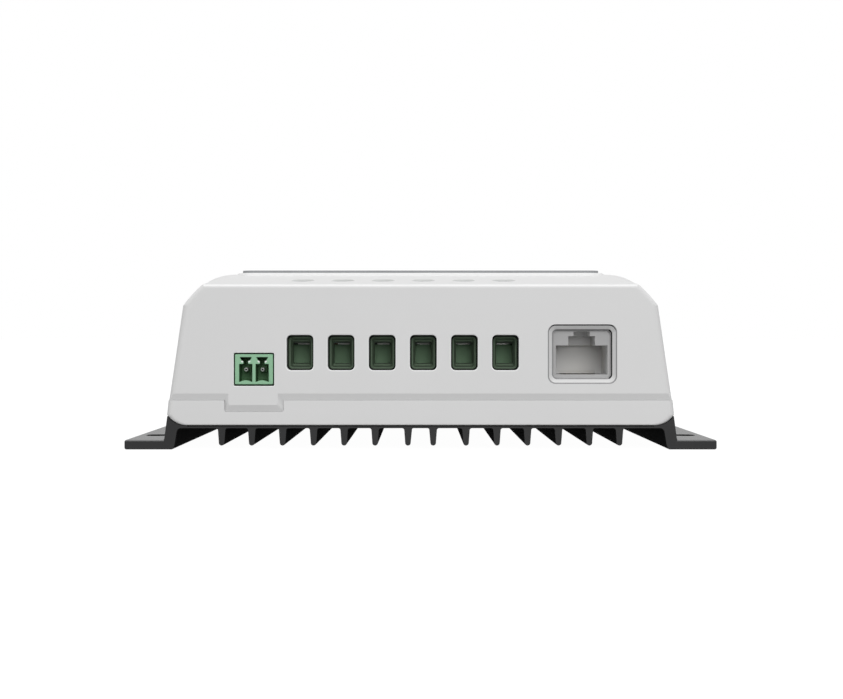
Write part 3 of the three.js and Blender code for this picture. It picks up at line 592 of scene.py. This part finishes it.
# ------------------------------------------------------------------ face panel, window, display
rings = [in_xy(rrect(0, 4.5, 87.4 - 2 * e, 149.0 - 2 * e, 3.0 - e, 10), z) for z, e in
         ((41.35, 0.0), (42.24, 0.0), (42.3, 0.02), (42.335, 0.06), (42.35, 0.12))]
panel = loft("panel", rings, M["panel"])
cutters = [loft("w", [in_xy(rrect(0, 28, 60 + 2 * o, 38 + 2 * o, 2.0 + o), z) for z, o in ((40, 0), (42.2, 0), (42.35, 0.15), (43, 0.15))])]
for x in KEYS.values():
    cutters.append(loft("k", [in_xy(rrect(x, KEY_Y, 12.6 + 2 * o, 7.6 + 2 * o, 3.55 + o), z) for z, o in ((40, 0), (42.15, 0), (42.35, 0.2), (43, 0.2))]))
for x in (-18, 0, 18):
    cutters.append(lathe_z("l", x, 0, [(1.75, 40), (1.75, 42.2), (1.9, 42.35), (1.9, 43)], n=28))
panel = cut(panel, cutters)
panel.name = "panel_sheet"
place(panel, ["face_panel"])
recolour(panel, M["panel_edge"], lambda c, n: n.z < 0.5 and (abs(c.x) > 40.4 or c.y < -66.8 or c.y > 75.8))

rings = [in_xy(rrect(0, 28, 59.6 - 2 * e, 37.6 - 2 * e, 1.8 - e), z) for z, e in ((41.35, 0), (42.1, 0), (42.2, 0.06), (42.25, 0.18))]
window = place(loft("window_pane", rings, M["clear"]), ["display_window"])


def flat_mark(name, outline, z0, z1, mat, holes=()):
    """A thin printed mark: a closed slab with that outline."""
    return loft(name, [in_xy(outline, z) for z in (z0, z1)], mat)


def ring_mark(name, cx, cy, r0, r1, z0, z1, mat, n=28):
    o = loft(name, [ring_cyl(cx, cy, r1, z, n) for z in (z0, z1)], mat)
    return cut(o, [loft("i", [ring_cyl(cx, cy, r0, z, n) for z in (z0 - 1, z1 + 1)])])


# thin frame line around the display, and pictograms above the three lights
marks = []
frame_line = loft("panel_marks", [in_xy(rrect(0, 28, 63.6, 41.6, 3.2), z) for z in (42.33, 42.375)], M["panel_print"])
frame_line = cut(frame_line, [loft("i", [in_xy(rrect(0, 28, 63.0, 41.0, 2.9), z) for z in (41, 43)])])
marks.append(frame_line)
Z0, Z1 = 42.335, 42.38


def bar(cx, cy, w, h, ang=0.0):
    c, s = math.cos(ang), math.sin(ang)
    pts = [(cx + c * a - s * b, cy + s * a + c * b) for a, b in ((w / 2, h / 2), (-w / 2, h / 2), (-w / 2, -h / 2), (w / 2, -h / 2))]
    return flat_mark("m", pts, Z0, Z1, M["panel_print"])


sx, sy = -18, -5.6  # sun
marks.append(ring_mark("m", sx, sy, 0.72, 0.98, Z0, Z1, M["panel_print"]))
for i in range(8):
    a = i * math.pi / 4
    marks.append(bar(sx + 1.6 * math.cos(a), sy + 1.6 * math.sin(a), 0.7, 0.24, a))
bx = 0  # battery
for args in ((bx, sy + 0.95, 3.6, 0.24), (bx, sy - 0.95, 3.6, 0.24), (bx - 1.68, sy, 0.24, 1.7), (bx + 1.68, sy, 0.24, 1.7),
             (bx + 2.05, sy, 0.4, 0.8), (bx - 0.7, sy, 0.24, 0.9), (bx, sy, 0.24, 0.9), (bx + 0.7, sy, 0.24, 0.9)):
    marks.append(bar(*args))
lx = 18  # lamp
marks.append(ring_mark("m", lx, sy + 0.35, 0.95, 1.2, Z0, Z1, M["panel_print"]))
for args in ((lx, sy - 1.1, 1.0, 0.24), (lx, sy - 1.5, 0.8, 0.24), (lx, sy - 1.9, 0.5, 0.24)):
    marks.append(bar(*args))
place(join(marks), ())

lcd = loft("lcd_cell_glass", [in_xy(rrect(0, 28, 66 - 2 * e, 44 - 2 * e, 0.4), z) for z, e in ((36.6, 0.1), (36.7, 0), (38.7, 0), (38.8, 0.1))], M["lcd"])
place(lcd, ["lcd_cell"])
# unlit segments: four digits, a battery outline and a bar graph
seg = []


def seg_bar(cx, cy, w, h):
    t = min(w, h) / 2
    if w > h:
        pts = [(cx + w / 2, cy), (cx + w / 2 - t, cy + t), (cx - w / 2 + t, cy + t), (cx - w / 2, cy), (cx - w / 2 + t, cy - t), (cx + w / 2 - t, cy - t)]
    else:
        pts = [(cx + t, cy + h / 2 - t), (cx, cy + h / 2), (cx - t, cy + h / 2 - t), (cx - t, cy - h / 2 + t), (cx, cy - h / 2), (cx + t, cy - h / 2 + t)]
    seg.append(loft("s", [in_xy(pts, z) for z in (38.79, 38.86)], M["lcd_mark"]))


for dx in (-15, -5, 5, 15):
    cx, cy, w, h, t = dx, 31, 5.2, 10.4, 0.95
    for k in (-1, 0, 1):
        seg_bar(cx, cy + k * h / 2, w - 0.7, t)
    for sxx in (-1, 1):
        for k in (-0.5, 0.5):
            seg_bar(cx + sxx * w / 2, cy + k * h / 2, t, h / 2 - 0.7)
for args in ((-20, 19.5, 8, 0.5), (-20, 15.5, 8, 0.5), (-24, 17.5, 0.5, 4), (-16, 17.5, 0.5, 4), (-15.3, 17.5, 0.8, 1.6)):
    seg_bar(*args)
for i in range(5):
    seg_bar(-22.9 + 1.45 * i, 17.5, 0.9, 2.8)
for i in range(9):
    seg_bar(-6 + 3.6 * i, 17.5, 2.6, 0.9 + 0.28 * i)
segs = join(seg)
segs.name = "lcd_segments"
place(segs, ())

# ------------------------------------------------------------------ keys
for name, x in KEYS.items():
    rings = [in_xy(rrect(x, KEY_Y, 14.4 - 2 * e, 9.4 - 2 * e, 4.2 - e, 8), z) for z, e in ((38.4, 0.1), (38.5, 0), (39.2, 0), (39.3, 0.1))]
    rings += [in_xy(rrect(x, KEY_Y, 12.0 - 2 * e, 7.0 - 2 * e, 3.2 - e, 8), z) for z, e in
              ((39.31, 0), (42.25, 0.0), (42.5, 0.04), (42.7, 0.14), (42.83, 0.3), (42.91, 0.52), (42.94, 0.85), (42.88, 1.6), (42.8, 2.6))]
    cap = place(loft("keycap_" + name, rings, M["key"]), ["key_" + name], "key_body_" + name, angle=40)
    z0, z1 = 42.76, 42.9
    if name in ("up", "down"):
        s = 1 if name == "up" else -1
        mark = loft("keymark_" + name, [in_xy([(x - 1.25, KEY_Y - s * 0.7), (x + 1.25, KEY_Y - s * 0.7), (x, KEY_Y + s * 1.0)][::s], z) for z in (z0, z1)], M["key_mark"])
    elif name == "enter":
        mark = ring_mark("keymark_enter", x, KEY_Y, 0.62, 1.0, z0, z1, M["key_mark"])
        mark.name = "keymark_enter"
    else:
        pts = [(x - 1.4, KEY_Y), (x - 0.3, KEY_Y + 1.0), (x - 0.3, KEY_Y + 0.25), (x + 1.3, KEY_Y + 0.25), (x + 1.3, KEY_Y - 0.25), (x - 0.3, KEY_Y - 0.25), (x - 0.3, KEY_Y - 1.0)]
        mark = loft("keymark_back", [in_xy(pts, z) for z in (z0, z1)], M["key_mark"])
    place(mark, (), "key_body_" + name)

guide = [lathe_z("g", x, 0, [(1.45, 38.6), (1.45, 42.0), (1.4, 42.17), (1.25, 42.29), (0.9, 42.34), (0.0, 42.35)], M["led_green"], 32) for x in (-18, 0, 18)]
bar_ = loft("light_guides", [in_xy(rrect(0, 0, 42, 4, 0.6), z) for z in (38.1, 39.3)], M["led_green"])
place(unite(bar_, [join(guide)]), ["light_guide"])

# ------------------------------------------------------------------ terminal block and its metal parts
BY0, BY1, BZ1 = -93.6, -79.6, 36.0
x0, x1 = POLE_X[0] - 4.8625, POLE_X[-1] + 4.8625
blk = loft("terminal_block", [in_xy(rrect((x0 + x1) / 2, (BY0 + BY1) / 2, x1 - x0, BY1 - BY0, 0.3, 3), z) for z in (15.1, BZ1)], M["block"])
cutters = [box_obj("p", x - 3.5, x + 3.5, -88.0, -81.6, 18.1, 32.7) for x in POLE_X]
blk = cut(blk, cutters)
cutters = []
for x in POLE_X:
    rings = [in_xz(rrect(x + dx, 22.4, w, h, r, 5), y) for y, w, h, r, dx in
             ((-94.2, 6.3, 8.3, 1.0, 0), (-93.6, 6.2, 8.2, 1.0, 0), (-93.35, 5.55, 7.5, 0.9, 0), (-92.5, 5.3, 7.25, 0.8, 0),
              (-92.35, 4.8, 6.75, 0.5, 0), (-90.3, 4.1, 6.0, 0.35, 0), (-90.1, 3.9, 5.3, 0.3, 0), (-87.9, 3.7, 4.9, 0.3, 0))]
    cutters.append(loft("f", rings))
blk = cut(blk, cutters)
cutters = []
for x in POLE_X:
    cutters.append(lathe_z("n", x, SCREW_Y, [(2.35, 32), (2.35, 33.6), (3.1, 33.61), (3.1, 35.8), (3.35, 36.05), (3.35, 38)], n=36))
    cutters.append(box_obj("b", x - 2.3, x + 2.3, -82, BY1 + 1, 24.3, 26.3))
for i in range(7):  # grooves between the poles, along the top and the rear
    gx = x0 + 0.1 + 9.525 * i
    if 0 < i < 6:
        cutters.append(box_obj("g", gx - 0.25, gx + 0.25, BY0 - 1, BY1 + 1, 35.6, 37))
blk = cut(blk, cutters)
place(blk, ["terminal_housing"])
# painted light: the funnel walls of the wire entries are toned lighter than the block
recolour(blk, M["block_wall"], lambda c, n: -93.3 < c.y < -88.0 and n.y < 0.3 and abs(n.y) < 0.999 and c.z < 28)
# painted light: the rear wall behind each entry is toned lighter
recolour(blk, M["block_back"], lambda c, n: n.y < -0.9 and abs(c.y + 81.6) < 0.05 and 18 < c.z < 33)
# the lip at the mouth of each entry is near-black: painted shadow
recolour(blk, M["lip_painted_shadow"], lambda c, n: c.y < -93.3 and -0.999 < n.y < 0.2 and 17 < c.z < 28)

for i, x in enumerate(POLE_X, 1):
    head = [(0.0, 26.3), (1.5, 26.3), (1.95, 26.75)]
    z = 27.0
    while z < 33.2:
        head += [(2.0, z), (1.72, z + 0.35)]
        z += 0.7
    head += [(2.0, 33.4), (2.0, 33.9), (2.55, 33.92), (2.8, 34.15), (2.8, 35.35), (2.66, 35.58), (2.4, 35.7), (0.0, 35.7)]
    s = lathe_z(f"clamping_screw_{i}", x, SCREW_Y, head, M["steel"], 36)
    s = cut(s, [box_obj("a", x - 1.9, x + 1.9, SCREW_Y - 0.35, SCREW_Y + 0.35, 34.6, 37)])
    s = cut(s, [box_obj("a", x - 0.35, x + 0.35, SCREW_Y - 1.9, SCREW_Y + 1.9, 34.6, 37)])
    place(s, [f"terminal_screw_{i}"], f"clamp_screw_body_{i}", angle=40)
    # folded strap cage with a round hole in its top plate for the screw
    c = loft(f"wire_cage_{i}", [in_xz(rrect(x, 23.1, 6.4, 9.4, 0.7, 5), y) for y in (-87.9, -81.9)], M["tin"])
    c = cut(c, [loft("a", [in_xz(rrect(x, (19.8 + 26.3) / 2, 4.6, 6.5, 0.3, 4), y) for y in (-89, -81)])])
    c = cut(c, [lathe_z("a", x, SCREW_Y, [(2.35, 26), (2.35, 29)], n=32)])
    c = bevel(c, 0.1, 2, 50)
    place(c, [f"terminal_cage_{i}"], f"clamp_cage_body_{i}")
    b = loft(f"contact_bar_{i}", [in_xz(rrect(x, 25.3, 4.0, 1.4, 0.15, 3), y) for y in (-87.6, BY1 + 1.5)], M["tin"])
    leg = loft("leg", [in_xy(rrect(x, BY1 + 0.9, 3.0, 1.2, 0.12, 3), z) for z in (12.2, 25.9)])
    bar = place(unite(b, [leg]), [f"terminal_bar_{i}"])
    # the front end of the contact bar is toned darker: painted shade
    recolour(bar, M["bar_end"], lambda c, n: n.y < -0.9 and c.y < -87.4)

# ------------------------------------------------------------------ sensor header
rings = [in_xz(rrect(HEAD_X, 18.59, 8.8 - 2 * e, 6.98 - 2 * e, 0.25, 4), y) for y, e in ((-95.97, 0.12), (-95.85, 0), (-87.2, 0))]
hdr = loft("header_body", rings, M["green"])
cutters = []
for dx in (-1.905, 1.905):
    x = HEAD_X + dx
    floor_ = [(x + 1.52 - 3.04 * i / 10, 15.62 + 0.42 * math.sin(math.pi * i / 10)) for i in range(11)]
    out = floor_ + [(x - 1.52, 19.75), (x - 1.47, 19.8), (x - 0.6, 19.82), (x - 0.55, 19.9), (x - 0.55, 20.42), (x - 0.6, 20.5), (x - 0.93, 20.58), (x - 1.36, 21.3), (x - 1.34, 21.4),
                    (x + 1.34, 21.4), (x + 1.36, 21.3), (x + 0.93, 20.58), (x + 0.6, 20.5), (x + 0.55, 20.42), (x + 0.55, 19.9), (x + 0.6, 19.82), (x + 1.47, 19.8), (x + 1.52, 19.75)]
    cutters.append(loft("c", [in_xz(out, y) for y in (-97, -89.2)]))
    cutters.append(box_obj("w", x - 0.75, x + 0.75, -90, -86, 17.75, 19.3))
hdr = cut(hdr, cutters)
hdr = bevel(hdr, 0.07, 1, 50)
place(hdr, ["sensor_header"])
# painted shade: the cavities of the header are a darker green
recolour(hdr, M["green_painted_shade"], lambda c, n: c.y > -95.8 and abs(c.x - HEAD_X) < 3.6 and 15.4 < c.z < 21.5)
# thin pale slivers at the neck corners of the header's cavities: painted highlights
tips = []
for dx in (-1.905, 1.905):
    for sx in (-1, 1):
        x = HEAD_X + dx
        pts = [(x + sx * a, z) for a, z in ((0.6, 20.12), (0.6, 20.5), (0.93, 20.6), (1.12, 20.5), (1.02, 20.2))]
        tips.append(loft("header_tip_highlights", [in_xz(pts[::sx], y) for y in (-95.98, -95.94)], M["green_painted_highlight"]))
place(join(tips), ())
for i, dx in enumerate((-1.905, 1.905), 1):
    x = HEAD_X + dx
    n = 24
    prof = [(-94.6, 0.03), (-94.6, 0.17), (-94.93, 0.21), (-94.99, 0.29), (-94.97, 0.38), (-94.88, 0.46), (-94.7, 0.5), (-86.6, 0.5)]
    rings = [[(x + r * math.cos(2 * math.pi * k / n), y, 18.52 + r * math.sin(2 * math.pi * k / n)) for k in range(n)] for y, r in prof]
    pin = loft(f"header_pin_{i}", rings, M["pin"])
    leg = loft("leg", [in_xy(rrect(x, -86.6, 1.0, 1.0, 0.15, 3), z) for z in (12.2, 18.95)])
    pin = place(unite(pin, [leg]), [f"sensor_pin_{i}"], angle=45)
    # the recessed centre of each pin's end is painted dark: painted shade
    recolour(pin, M["lip_painted_shadow"], lambda c, n, x=x: c.y < -94.55 and (c.x - x) ** 2 + (c.z - 18.52) ** 2 < 0.04)

# ------------------------------------------------------------------ modular jack
JY1 = JACK_Y + 18.0
x = JACK_X
jack = loft("jack_body", [in_xz(rrect(x, 22.0, 15.2 - 2 * e, 13.8 - 2 * e, 0.4, 4), y) for y, e in ((JACK_Y, 0.12), (JACK_Y + 0.12, 0), (JY1, 0))], M["jack"])
jack = cut(jack, [loft("a", [in_xz(rrect(x, 20.695, 11.94 + 2 * o, 6.69 + 2 * o, 0.12, 3), y) for y, o in ((-95, 0.1), (JACK_Y, 0.1), (JACK_Y + 0.15, 0), (JACK_Y + 15, 0))])])
jack = cut(jack, [box_obj("a", x - 3.1, x + 3.1, -95, JACK_Y + 12, 22.0, 26.26)])
jack = cut(jack, [box_obj("a", x - 1.87, x + 1.87, -95, JACK_Y + 9, 25.0, 27.37)])
jack = cut(jack, [box_obj("a", x - 4.3, x + 4.3, JACK_Y + 4, JACK_Y + 15.2, 15.9, 17.9)])
jack = cut(jack, [box_obj("a", x - 4.3, x + 4.3, JACK_Y + 14, JY1 + 1, 15.9, 17.35)])
jack = bevel(jack, 0.06, 1, 60)
place(jack, ["jack_housing"])
# the cavity is toned lighter than the face of the jack: painted light against the shade inside
recolour(jack, M["jack_inner"], lambda c, n: c.y > JACK_Y + 0.2 and abs(c.x - JACK_X) < 6.5 and 15.95 < c.z < 27.5 and c.y < JY1 - 0.5)
wires = [loft("jack_springs", [in_xz(rrect(x, 16.65, 8.0, 0.9, 0.1, 3), y) for y in (JACK_Y + 9, JY1 + 0.6)], M["gold"])]
for i in range(8):
    cx = x + (i - 3.5) * 1.02
    path = [(JACK_Y + 9.6, 16.5), (JACK_Y + 5.6, 16.5), (JACK_Y + 5.2, 16.62), (JACK_Y + 5.3, 16.85), (JACK_Y + 6.2, 16.9), (JACK_Y + 9.0, 17.0),
            (JACK_Y + 12.4, 17.1), (JACK_Y + 12.9, 17.1)]
    rings = []
    for k, (py, pz) in enumerate(path):
        a, b = path[max(0, k - 1)], path[min(len(path) - 1, k + 1)]
        ty, tz = b[0] - a[0], b[1] - a[1]
        l = math.hypot(ty, tz) or 1
        ny, nz = -tz / l, ty / l
        rings.append([(cx + 0.2 * math.cos(2 * math.pi * q / 10), py + 0.2 * math.sin(2 * math.pi * q / 10) * ny,
                       pz + 0.2 * math.sin(2 * math.pi * q / 10) * nz) for q in range(10)])
    wires.append(loft("w", rings))
place(join(wires), ["jack_contacts"], angle=50)

# ------------------------------------------------------------------ screws seen from below
for i, (sx, sy) in enumerate(((-1, -1), (1, -1), (-1, 1), (1, 1)), 1):
    x, y = sx * BOSS_X, sy * BOSS_Y
    s = lathe_z(f"casing_screw_{i}", x, y, [(0.0, 5.0), (1.9, 5.02), (2.4, 5.15), (2.68, 5.42), (2.75, 5.75), (2.75, 6.4), (1.5, 6.42), (1.5, 23.6), (0.8, 24.0), (0.0, 24.0)], M["steel"], 40)
    s = cut(s, [loft("a", [in_xy(rrect(x, y, 3.4 - t, 0.7 - t * 0.4, 0.1, 2), z) for z, t in ((4, 0), (5.8, 0.5))])])
    s = cut(s, [loft("a", [in_xy(rrect(x, y, 0.7 - t * 0.4, 3.4 - t, 0.1, 2), z) for z, t in ((4, 0), (5.8, 0.5))])])
    place(s, [f"case_screw_{i}"], angle=40)

# ------------------------------------------------------------------ finer inner parts
for i, x in ((1, -30), (2, -11)):
    prof = [(0.0, 15.1), (7.4, 15.1), (7.85, 15.3), (8.0, 15.8), (8.0, 17.0), (7.75, 17.35), (7.75, 17.65), (8.0, 18.0), (8.0, 36.3), (7.8, 36.7), (7.3, 36.9), (6.9, 36.6), (0.0, 36.6)]
    c = lathe_z(f"electrolytic_{i}", x, -62, prof, M["can"], 56)
    c.data.materials.append(M["tin"])
    c = place(c, [f"capacitor_{i}"], angle=40)
    for f in c.data.polygons:
        if f.center.z / MM > 36.55 and (Vector((f.center.x / MM - x, f.center.y / MM + 62))).length < 6.95:
            f.material_index = 1

turns = []
NT = 34
for k in range(NT):  # separate turns of wire around the core
    a = 0.30 + k / (NT - 1) * (2 * math.pi - 0.60)
    path = rrect(11, 22.4, 8.2, 11.2, 1.6, 4)
    ca, sa = math.cos(a), math.sin(a)
    nseg, r = 8, 0.68
    m = len(path)
    verts, faces = [], []
    for j, (pr, pz) in enumerate(path):
        nr, nz = path[(j + 1) % m][0] - path[j - 1][0], path[(j + 1) % m][1] - path[j - 1][1]
        l = math.hypot(nr, nz) or 1
        nr, nz = nz / l, -nr / l
        for q in range(nseg):
            t = 2 * math.pi * q / nseg
            off, along = r * math.cos(t), r * math.sin(t) * min(1.0, pr / 11)
            rr, zz = pr + off * nr, pz + off * nz
            verts.append((-20 + rr * ca - along * sa, 24 + rr * sa + along * ca, zz))
    for j in range(m):
        for q in range(nseg):
            faces.append((j * nseg + q, j * nseg + (q + 1) % nseg, ((j + 1) % m) * nseg + (q + 1) % nseg, ((j + 1) % m) * nseg + q))
    turns.append(obj_from("t", verts, faces, M["copper"]))
w = join(turns)
w.name = "choke_winding"
place(w, ["inductor_winding"], angle=60)

# ------------------------------------------------------------------ CAD nodes that keep their shape get their finish here
KEEP = {
    "display_board": "pcb", "main_board": "pcb", "lcd_backlight": "white", "inductor_core": "ferrite", "thermal_pad": "pad",
    "mosfet_1": "black", "mosfet_2": "black", "mosfet_clamp": "steel", "clamp_screw": "steel", "ribbon_cable": "ribbon",
}
for k in KEYS:
    KEEP["switch_plunger_" + k] = "black"
    KEEP["switch_body_" + k] = "black"
for node, m in KEEP.items():
    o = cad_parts[node]
    o.data.materials.clear()
    o.data.materials.append(M[m])

# ------------------------------------------------------------------ floor, light and camera
DOME, LOW, TOP, FRONT = 0.75, 0.26, 1.2, 4.6  # radiance of the dome, its lower half, the overhead and the front lamp
fl = bpy.data.materials.new("floor")
fl.use_nodes = True
nt = fl.node_tree
b = nt.nodes["Principled BSDF"]
b.inputs["Base Color"].default_value = (0.1, 0.1, 0.1, 1)
b.inputs["Roughness"].default_value = 0.9
b.inputs["Specular IOR Level"].default_value = 0.0
b.inputs["Emission Color"].default_value = (1, 1, 1, 1)
b.inputs["Emission Strength"].default_value = 0.98
me = bpy.data.meshes.new("floor")
S = 30.0
me.from_pydata([(-S, -S, -0.00005), (S, -S, -0.00005), (S, S, -0.00005), (-S, S, -0.00005)], [], [(0, 1, 2, 3)])
me.materials.append(fl)
floor = bpy.data.objects.new("floor", me)
scene.collection.objects.link(floor)
floor.visible_diffuse = False
floor.visible_glossy = False

# a white backdrop for the picture, and a softer dome that lights the object: bright above, dim below
world = bpy.data.worlds.new("studio")
scene.world = world
world.use_nodes = True
nt = world.node_tree
n, link = nt.nodes, nt.links.new
out = n["World Output"]
white = n["Background"]
white.inputs["Color"].default_value = (1, 1, 1, 1)
white.inputs["Strength"].default_value = 1.0
dome = n.new("ShaderNodeBackground")
dome.inputs["Strength"].default_value = DOME
tc = n.new("ShaderNodeTexCoord")
sep = n.new("ShaderNodeSeparateXYZ")
link(tc.outputs["Generated"], sep.inputs["Vector"])
ramp = n.new("ShaderNodeValToRGB")
mr = n.new("ShaderNodeMapRange")
mr.inputs["From Min"].default_value, mr.inputs["From Max"].default_value = -1.0, 1.0
link(sep.outputs["Z"], mr.inputs["Value"])
link(mr.outputs["Result"], ramp.inputs["Fac"])
ramp.color_ramp.elements[0].position, ramp.color_ramp.elements[0].color = 0.0, (LOW, LOW, LOW, 1)
ramp.color_ramp.elements[1].position, ramp.color_ramp.elements[1].color = 1.0, (1, 1, 1, 1)
for pos, v in ((0.46, LOW), (0.54, 0.85)):
    e = ramp.color_ramp.elements.new(pos)
    e.color = (v, v, v, 1)
link(ramp.outputs["Color"], dome.inputs["Color"])
lp = n.new("ShaderNodeLightPath")
mix = n.new("ShaderNodeMixShader")
link(lp.outputs["Is Camera Ray"], mix.inputs["Fac"])
link(dome.outputs["Background"], mix.inputs[1])
link(white.outputs["Background"], mix.inputs[2])
link(mix.outputs["Shader"], out.inputs["Surface"])


def area(name, loc, target, size, radiance):
    l = bpy.data.lights.new(name, "AREA")
    l.shape = "DISK"
    l.size = size
    l.energy = radiance * math.pi * math.pi * size * size / 4
    o = bpy.data.objects.new(name, l)
    scene.collection.objects.link(o)
    o.location = loc
    o.rotation_euler = (Vector(target) - Vector(loc)).to_track_quat("-Z", "Y").to_euler()
    return o


area("top_soft", (0.0, -0.1, 1.3), (0, 0, 0.02), 1.2, TOP)
area("front_soft", (0.22, -1.95, 0.55), (0, -0.05, 0.02), 1.1, FRONT)

cam = bpy.data.cameras.new("camera")
cam.lens = 85.0
cam.sensor_width = 36.0
cam.sensor_fit = "HORIZONTAL"
cam.shift_x = 0.0006
cam.shift_y = -0.01364
cam.clip_start = 0.01
cam.clip_end = 200.0
camera = bpy.data.objects.new("camera", cam)
scene.collection.objects.link(camera)
camera.location = (0.0001, -0.096 - 0.461, 0.02584)
camera.rotation_euler = (math.pi / 2, 0, 0)
scene.camera = camera

bpy.context.view_layer.update()
